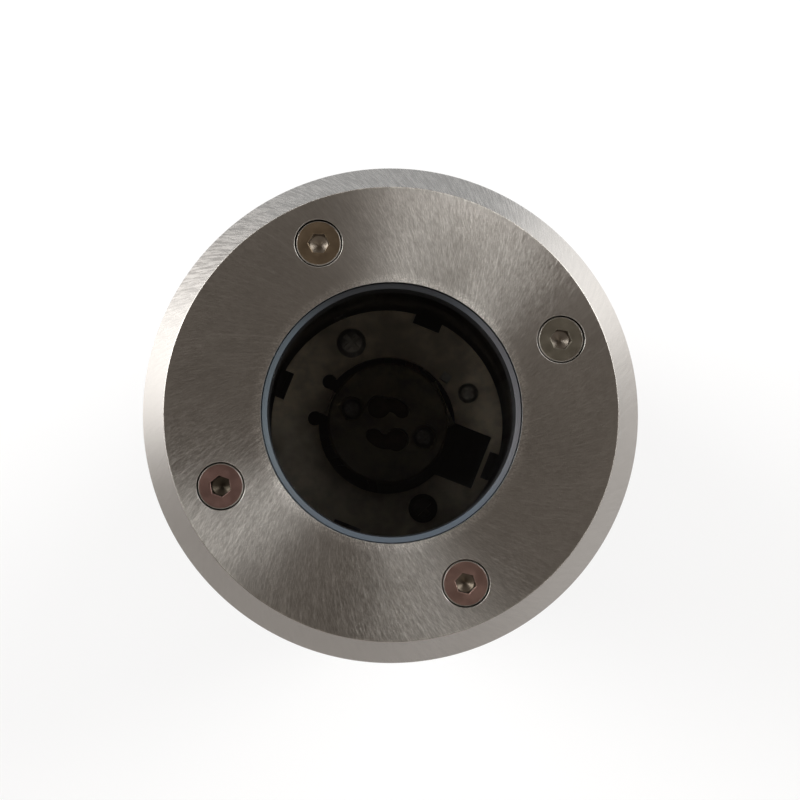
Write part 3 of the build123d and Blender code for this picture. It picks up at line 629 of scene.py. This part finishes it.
def radial_rows(inner, outer):
    """Radii between two edges, the first and last steps narrow."""
    share = np.linspace(0.0, 1.0, sector_rows + 1)
    wave = np.sin(2 * math.pi * share) / (2 * math.pi)
    return inner + (outer - inner) * (share - row_crowding * wave)


def holed_eighth(inner, outer, z, hole, index, meet=None):
    """Eighth of a flat ring round one screw hole, and the angles of its rays round the hole.

    The edge of the eighth (outer arc, side, inner arc, side) is one closed row of points. Each is
    joined to the hole by the ray from the hole's centre, and the rings between them divide the ray.
    The innermost ring may meet a bore that was turned at other angles."""
    arc = np.linspace(-half_sector, half_sector, sector_steps + 1)
    rows = radial_rows(inner, outer)
    radius = np.concatenate([np.full(sector_steps, outer), rows[::-1][:-1],
                             np.full(sector_steps, inner), rows])
    angle = np.concatenate([arc[:-1], np.full(sector_rows, half_sector), arc[::-1][:-1],
                            np.full(sector_rows + 1, -half_sector)])
    angle += plan_turn + index * math.pi / 2
    edge = np.stack([radius * np.cos(angle), radius * np.sin(angle)], -1)
    centre = screw_place(index)
    ray = edge - centre
    rays = np.arctan2(ray[:, 1], ray[:, 0])
    rim = centre + hole * np.stack([np.cos(rays), np.sin(rays)], -1)
    share = np.array(hole_rings)[:, None, None]
    plan = rim[None] * (1 - share) + edge[None] * share
    if meet is not None:
        plan[0] = centre + hole * np.stack([np.cos(meet), np.sin(meet)], -1)
    return np.concatenate([plan, np.full(plan.shape[:2] + (1,), z)], -1), rays


def plain_eighth(inner, outer, z, middle):
    """Eighth of a flat ring between two holed ones: radii by angles."""
    arc = np.linspace(-half_sector, half_sector, sector_steps + 1) + middle
    rows = radial_rows(inner, outer)
    return turned(np.stack([rows, np.full(len(rows), z)], -1), arc)


def cover_plate(material):
    """Stainless ring: turned bevel and bore, flat faces in eighths, and a stepped hole per screw."""
    angles = circle_angles(8 * sector_steps, plan_turn - half_sector)
    face_in, face_out = window_edge + face_margin, face_edge - face_margin
    foot_out = cover_edge - foot_margin
    pocket_rim, shank_rim = pocket_edge + hole_margin, shank_hole + hole_margin
    outside = rounded([(face_out, face_z, 0), (face_edge, face_z, 0.35),
                       (cover_edge, face_z - bevel_drop, 0.3), (cover_edge, cover_low, 0.3),
                       (foot_out, cover_low, 0)])
    inside = rounded([(face_in, face_z, 0), (window_edge, face_z, 0.12),
                      (window_edge, cover_low, 0.2), (face_in, cover_low, 0)])
    pocket = rounded([(pocket_rim, face_z, 0), (pocket_edge, face_z, 0.18),
                      (pocket_edge, head_seat, 0.2), (shank_rim, head_seat, 0)])
    bore = rounded([(shank_rim, head_seat, 0), (shank_hole, head_seat, 0.1),
                    (shank_hole, cover_low, 0.1), (shank_rim, cover_low, 0)])
    patches = [turned(outside, angles), turned(inside, angles)]
    for index in range(4):
        centre = screw_place(index)
        top, rays = holed_eighth(face_in, face_out, face_z, pocket_rim, index)
        under, _ = holed_eighth(face_in, foot_out, cover_low, shank_rim, index, meet=rays)
        between = plan_turn + index * math.pi / 2 + math.pi / 4
        patches += [top, under, turned(pocket, rays, centre), turned(bore, rays, centre),
                    plain_eighth(face_in, face_out, face_z, between),
                    plain_eighth(face_in, foot_out, cover_low, between)]
    piece("cover_plate", patches, "cover_unit", material, "face_plate", 40.0)


# ---------------------------------------------------------------- cover screws
screw_columns = 96
cone_shares = (0.0, 0.1, 0.4, 0.7, 0.97)    # rows of the socket's cone, from its tip
head_shares = (0.06, 0.3, 0.6, 0.9)         # rows of the head's flat top
rows_per_pitch = 10
fade_rows = 8                           # rows in which the thread reaches its full depth
wave_gain, wave_drop = 1.25, 0.1        # the wave is cut off at 0 and 1 after these


def cover_screw(index, material):
    """Low-head screw, one grid from the socket's cone to the end of the thread.

    Rows follow the outline from the middle of the socket outwards and down; in the socket the radius
    at an angle is that of the hexagon, flats / 2 over the cosine of the angle from the flat's middle.
    On the shank the radius drops by a triangle wave of height and angle, cut flat at root and crest,
    which makes the thread."""
    turn = math.radians(socket_turns[index])
    angles = circle_angles(screw_columns, turn)
    off_flat = (angles - turn + math.pi / 6) % (math.pi / 3) - math.pi / 6
    flat = socket_flats / 2
    hexagon = flat / np.cos(off_flat)
    mouth = hexagon + socket_mouth[-1][0]
    bottom = head_top - socket_depth
    rows = [(share * flat, bottom - socket_cone * (1 - share)) for share in cone_shares]
    rows += [(flat, bottom), (0.5 * (flat + hexagon), bottom), (hexagon, bottom),
             (hexagon, bottom + 0.05)]
    rows += [(hexagon + widening, head_top - drop) for widening, drop in socket_mouth]
    rows += [(mouth * (1 - share) + head_flat * share, head_top) for share in head_shares]
    rows += rounded([(head_flat - 0.1, head_top, 0), (head_flat, head_top, 0.06),
                     (head_edge, head_top - head_chamfer, 0.06), (head_edge, head_seat, 0.15),
                     (shank_edge + shank_fillet, head_seat, 0)], 2).tolist()
    rows.append((shank_edge, head_seat - shank_fillet))
    steps = int((thread_start - thread_end) / thread_pitch * rows_per_pitch)
    for share in np.linspace(0, 1, steps + 1):
        z = thread_start + (thread_end - thread_start) * share
        phase = (z / thread_pitch + angles / (2 * math.pi)) % 1.0
        wave = 1.0 - np.abs(2.0 * phase - 1.0)
        fade = min(1.0, share * steps / fade_rows, (1 - share) * steps / fade_rows)
        cut = thread_depth * fade * np.clip(wave_gain * wave - wave_drop, 0, 1)
        rows.append((shank_edge - thread_play - cut, z))
    rows += [(shank_edge - shank_tip, screw_end), (0.0, screw_end)]
    radius = np.array([np.broadcast_to(radius, angles.shape) for radius, _ in rows])
    z = np.array([np.full(angles.shape, level) for _, level in rows])
    centre = screw_place(index)
    grid = np.stack([centre[0] + radius * np.cos(angles), centre[1] + radius * np.sin(angles), z], -1)
    body = f"cover_screw_{index + 1}"
    piece(body + "_turned", [grid], body, material, body, 25.0)


# ---------------------------------------------------------------- glass and gasket
ring_columns = 256


def window_gasket(material):
    """Seal of U section round the glass, with a collar up the window's bore and rounded lips."""
    groove = glass_edge + 0.1
    lip = groove - gasket_lip
    outline = rounded([(lip, glass_top, 0), (gasket_mouth, glass_top, 0.15),
                       (gasket_mouth, collar_top - collar_fall, 0.25), (collar_edge, collar_top, 0.12),
                       (collar_edge, cover_low, 0.05), (gasket_edge, cover_low, 0.2),
                       (gasket_edge, shelf_z, 0.2), (shelf_edge, shelf_z, 0.3),
                       (shelf_edge, glass_low, 0.15), (groove, glass_low, 0.1),
                       (groove, glass_top, 0.1), (lip, glass_top, 0)])
    piece("window_gasket", [turned(outline, circle_angles(ring_columns))], "cover_unit",
          material, "lens_gasket")


def window_glass(material):
    """Glass disc with ground edges."""
    outline = rounded([(0, glass_low, 0), (glass_edge, glass_low, 0.5), (glass_edge, glass_top, 0.5),
                       (0, glass_top, 0)])
    piece("window_glass", [turned(outline, circle_angles(ring_columns))], "cover_unit",
          material, "lens_glass")


# ---------------------------------------------------------------- the light, dressed
cover_plate(brushed_cover())
# name, heat tint of the face, and the socket's painted light (lighter as mirrored side light, darkest
# on the left screw whose socket is shaded), by cover screw
screw_tints = (("grey_screw", (0.34, 0.32, 0.265), (0.29, 0.26, 0.225)),
               ("olive_screw", (0.31, 0.24, 0.165), (0.36, 0.32, 0.27)),
               ("rosy_screw", (0.44, 0.285, 0.26), (0.105, 0.09, 0.07)),
               ("warm_screw", (0.55, 0.37, 0.33), (0.21, 0.18, 0.145)))
for number, (finish_name, face_tint, socket_painted_light) in enumerate(screw_tints):
    cover_screw(number, turned_screw(finish_name, number, face_tint, socket_painted_light))
window_gasket(collar_rubber())
window_glass(clear_glass())

black_plastic = moulded_plastic("black_plastic", (0.022, 0.022, 0.023))
gland_black = moulded_plastic("gland_black", (0.03, 0.03, 0.031), 0.42, 1100.0)
rubber = seal_rubber("black_seal", (0.02, 0.02, 0.02), 0.6)
# front and back shares of painted light: darker at the front, lighter at the back
zinc_plate = plated("yellow_zinc", (0.37, 0.330, 0.27), (0.50, 0.440, 0.35), 0.5, 1.75)
plate_screw = plated("plate_screw", (0.36, 0.345, 0.32), (0.50, 0.485, 0.45), 0.08, 1.6)
zinc_screw = plated("zinc_screw", (0.45, 0.43, 0.40), (0.62, 0.60, 0.56))
dark_screw = plated("dark_screw", (0.075, 0.073, 0.070), (0.13, 0.13, 0.13))
holder_ceramic = ceramic()
brass = plated("brass", (0.60, 0.44, 0.20), (0.70, 0.54, 0.28))
dull_brass = plated("dull_brass", (0.028, 0.020, 0.013), (0.045, 0.032, 0.022))
natural_plastic = moulded_plastic("natural_plastic", (0.62, 0.58, 0.48))

finishes = {
    "mounting_sleeve": black_plastic, "housing": powder_cast(), "mounting_plate": zinc_plate,
    "plate_screws": plate_screw, "lampholder_cap": holder_ceramic, "lampholder_base": holder_ceramic,
    "lampholder_contacts": dull_brass, "lampholder_screws": dark_screw, "lampholder_nuts": zinc_screw,
    "earth_tag": plate_screw, "earth_screw": zinc_screw, "earth_nut": zinc_screw,
    "terminal_block": natural_plastic, "terminal_inserts": brass, "terminal_screws": zinc_screw,
    "block_screws": zinc_screw, "lamp_lead_live": seal_rubber("brown_sleeve", (0.12, 0.05, 0.02)),
    "lamp_lead_neutral": seal_rubber("blue_sleeve", (0.02, 0.06, 0.22)),
    "earth_lead": seal_rubber("green_sleeve", (0.05, 0.18, 0.04)), "gland_body": gland_black,
    "gland_washer": rubber, "gland_seal": rubber, "gland_nut": gland_black,
    "blanking_plug": gland_black, "plug_washer": rubber,
}
bodies = frame["record"]["behaviour"]["bodies"]
body_of = {node: body for body, nodes in bodies.items() for node in nodes}
soft_edges = {"mounting_sleeve": 0.35, "housing": 0.35, "gland_body": 0.2, "gland_nut": 0.2,
              "blanking_plug": 0.2, "terminal_block": 0.2}
for node, finish in finishes.items():
    refined(node, body_of[node], finish, soft_edges.get(node))


# ---------------------------------------------------------------- floor, light and camera
# tall soft boxes round the table: azimuth of the foot in degrees, and strength
SOFT_BOXES = ((167.0, 5.4), (38.0, 4.1))
BOX_FOOT = (10.0, 23.0)                 # half width in degrees, without and with its soft edge
BOX_HEAD = (6.0, 14.0)                  # the same from a third of the way up
BOX_NECK = 0.35                         # that height, as the sine of its elevation
BOX_LEAN = 8.5                          # azimuth in degrees lost from foot to head
BOX_LIGHT = (1.0, 0.99, 0.97)

WARM_AZIMUTH = 240.0
COOL_AZIMUTH = 85.0
LOW_WALL = (0.52, 0.50, 0.48)
LOW_WALL_WARM = (0.35, 0.33, 0.31)
LOW_WALL_COOL = (0.46, 0.475, 0.485)
HIGH_WALL = (0.35, 0.315, 0.285)
HIGH_WALL_WARM = (0.27, 0.24, 0.215)
CEILING = (0.125, 0.103, 0.085)
CAMERA_SHADE = (0.02, 0.017, 0.015)
WHITE = (1.0, 1.0, 1.0)

FLOOR_HALF = 40.0                       # metres
FLOOR_TINT = (0.8, 0.8, 0.8)
# painted shade of the floor inside the sleeve
SLEEVE_FLOOR_SHADE = (0.01, 0.009, 0.008)
FLOOR_GLOW = 0.75                       # share of the room's tone on the floor
LAMP_AIM = Vector((0.0, 0.0, 0.12))     # metres
# soft lamps: name, place and size in metres, and power in watts
LAMPS = (("left_lamp", (-0.66, 0.24, 0.62), 0.5, 6.0),
         ("right_lamp", (0.57, 0.40, 0.62), 0.5, 6.0),
         ("front_lamp", (-0.05, -0.85, 0.06), 0.2, 4.0))


def room_tone(n, direction):
    """Brightness of the room by direction: grey walls, darker and warmer to the lower left and cooler
    at the back, two tall soft boxes that start at the table, a dim ceiling, and a dark patch overhead
    where the camera stands. Heights are sines of the elevation."""
    x, y, height = n.split(n.vector("NORMALIZE", direction))
    flat = n.vector("NORMALIZE", n.join(x, y, 0.0))
    warm_side = n.step(n.facing(flat, WARM_AZIMUTH), 0.1, 0.8)
    cool_side = n.step(n.facing(flat, COOL_AZIMUTH), 0.5, 0.95)
    low_wall = n.mix(cool_side, n.mix(warm_side, LOW_WALL, LOW_WALL_WARM), LOW_WALL_COOL)
    high_wall = n.mix(warm_side, HIGH_WALL, HIGH_WALL_WARM)
    wall = n.mix(n.step(height, 0.05, 0.4), low_wall, high_wall)
    overhead = n.mix(n.step(height, 0.975, 0.99), CEILING, CAMERA_SHADE)
    tone = n.mix(n.step(height, 0.70, 0.93), wall, overhead)
    inner, outer = (n.step(height, 0.0, BOX_NECK, compass(foot)[0], compass(head)[0])
                    for foot, head in zip(BOX_FOOT, BOX_HEAD))
    leaning = n.turn(flat, n.step(height, 0.0, BOX_NECK, 0.0, math.radians(BOX_LEAN)))
    tall = n.product(n.step(height, -0.1, 0.4, 0.13, 1.0), n.step(height, 0.66, 0.86, 1.0, 0.0))
    for azimuth, strength in SOFT_BOXES:
        side = n.step(n.facing(leaning, azimuth), outer, inner)
        box = n.product(side, tall, strength)
        tone = n.mix(1.0, tone, n.vector("SCALE", BOX_LIGHT, box), "ADD")
    return tone


def studio_floor():
    """Pale floor under the light: white to the eye, with the shadow kept as a grey share, the tone of
    the room's walls in a reflection, and painted shade on the floor inside the sleeve."""
    mesh = bpy.data.meshes.new("studio_floor")
    signs = ((-1, -1), (1, -1), (1, 1), (-1, 1))
    mesh.from_pydata([(x * FLOOR_HALF, y * FLOOR_HALF, 0) for x, y in signs], [], [(0, 1, 2, 3)])
    floor = bpy.data.objects.new("studio_floor", mesh)
    bpy.context.scene.collection.objects.link(floor)
    f = Finish("pale_floor", Roughness=1.0)
    outside = f.rise(plan_polar(f)[0], well_edge, well_edge + 3.0)
    # painted shade: the floor inside the sleeve painted near black
    f.put(Base_Color=f.mix(outside, SLEEVE_FLOOR_SHADE, FLOOR_TINT))
    glow = f.node("Emission")
    f.feed(glow.inputs["Color"], f.mix(f.seen(), room_tone(f, f.coords), WHITE))
    mixer = f.node("MixShader")
    f.feed(mixer.inputs[0], f.product(f.seen(mirrored=True), outside, FLOOR_GLOW))
    f.feed(mixer.inputs[1], f.shader.outputs[0])
    f.feed(mixer.inputs[2], glow.outputs[0])
    f.feed(f.tree.nodes["Material Output"].inputs["Surface"], mixer.outputs[0])
    mesh.materials.append(f.material)


def studio_world():
    """White to the eye and through glass; for light and reflections, the room."""
    world = bpy.data.worlds.new("studio")
    bpy.context.scene.world = world
    world.use_nodes = True
    n = Nodes(world.node_tree)
    room = room_tone(n, n.node("TexCoord").outputs["Generated"])
    n.feed(n.tree.nodes["Background"].inputs[0], n.mix(n.seen(), room, WHITE))


def soft_lamp(name, place, size, power):
    """Square soft box that points at the cover and isn't mirrored in the metal."""
    lamp = bpy.data.lights.new(name, "AREA")
    lamp.size = size
    lamp.energy = power
    made = bpy.data.objects.new(name, lamp)
    bpy.context.scene.collection.objects.link(made)
    made.location = Vector(place)
    made.rotation_euler = (LAMP_AIM - made.location).to_track_quat("-Z", "Y").to_euler()
    made.visible_glossy = False


def photo_camera():
    """Camera of the photograph: almost overhead, 293 mm above the face."""
    place = Vector((-4.837, -13.438, face_z + 292.83)) * MM
    aim = Vector((1.796, 2.697, face_z)) * MM
    focal_pixels, picture_pixels = 1340.4, 800.0
    camera = bpy.data.cameras.new("photo_camera")
    camera.sensor_width = 36.0
    camera.lens = focal_pixels * camera.sensor_width / picture_pixels
    camera.clip_start = 0.01
    made = bpy.data.objects.new("photo_camera", camera)
    bpy.context.scene.collection.objects.link(made)
    forward = (aim - place).normalized()
    right = forward.cross(Vector((0, 1, 0))).normalized()
    up = right.cross(forward)
    turn = Matrix((right, up, -forward)).transposed().to_4x4()
    made.matrix_world = Matrix.Translation(place) @ turn
    bpy.context.scene.camera = made


bpy.context.scene.view_settings.view_transform = "Standard"
studio_floor()
studio_world()
for lamp in LAMPS:
    soft_lamp(*lamp)
photo_camera()
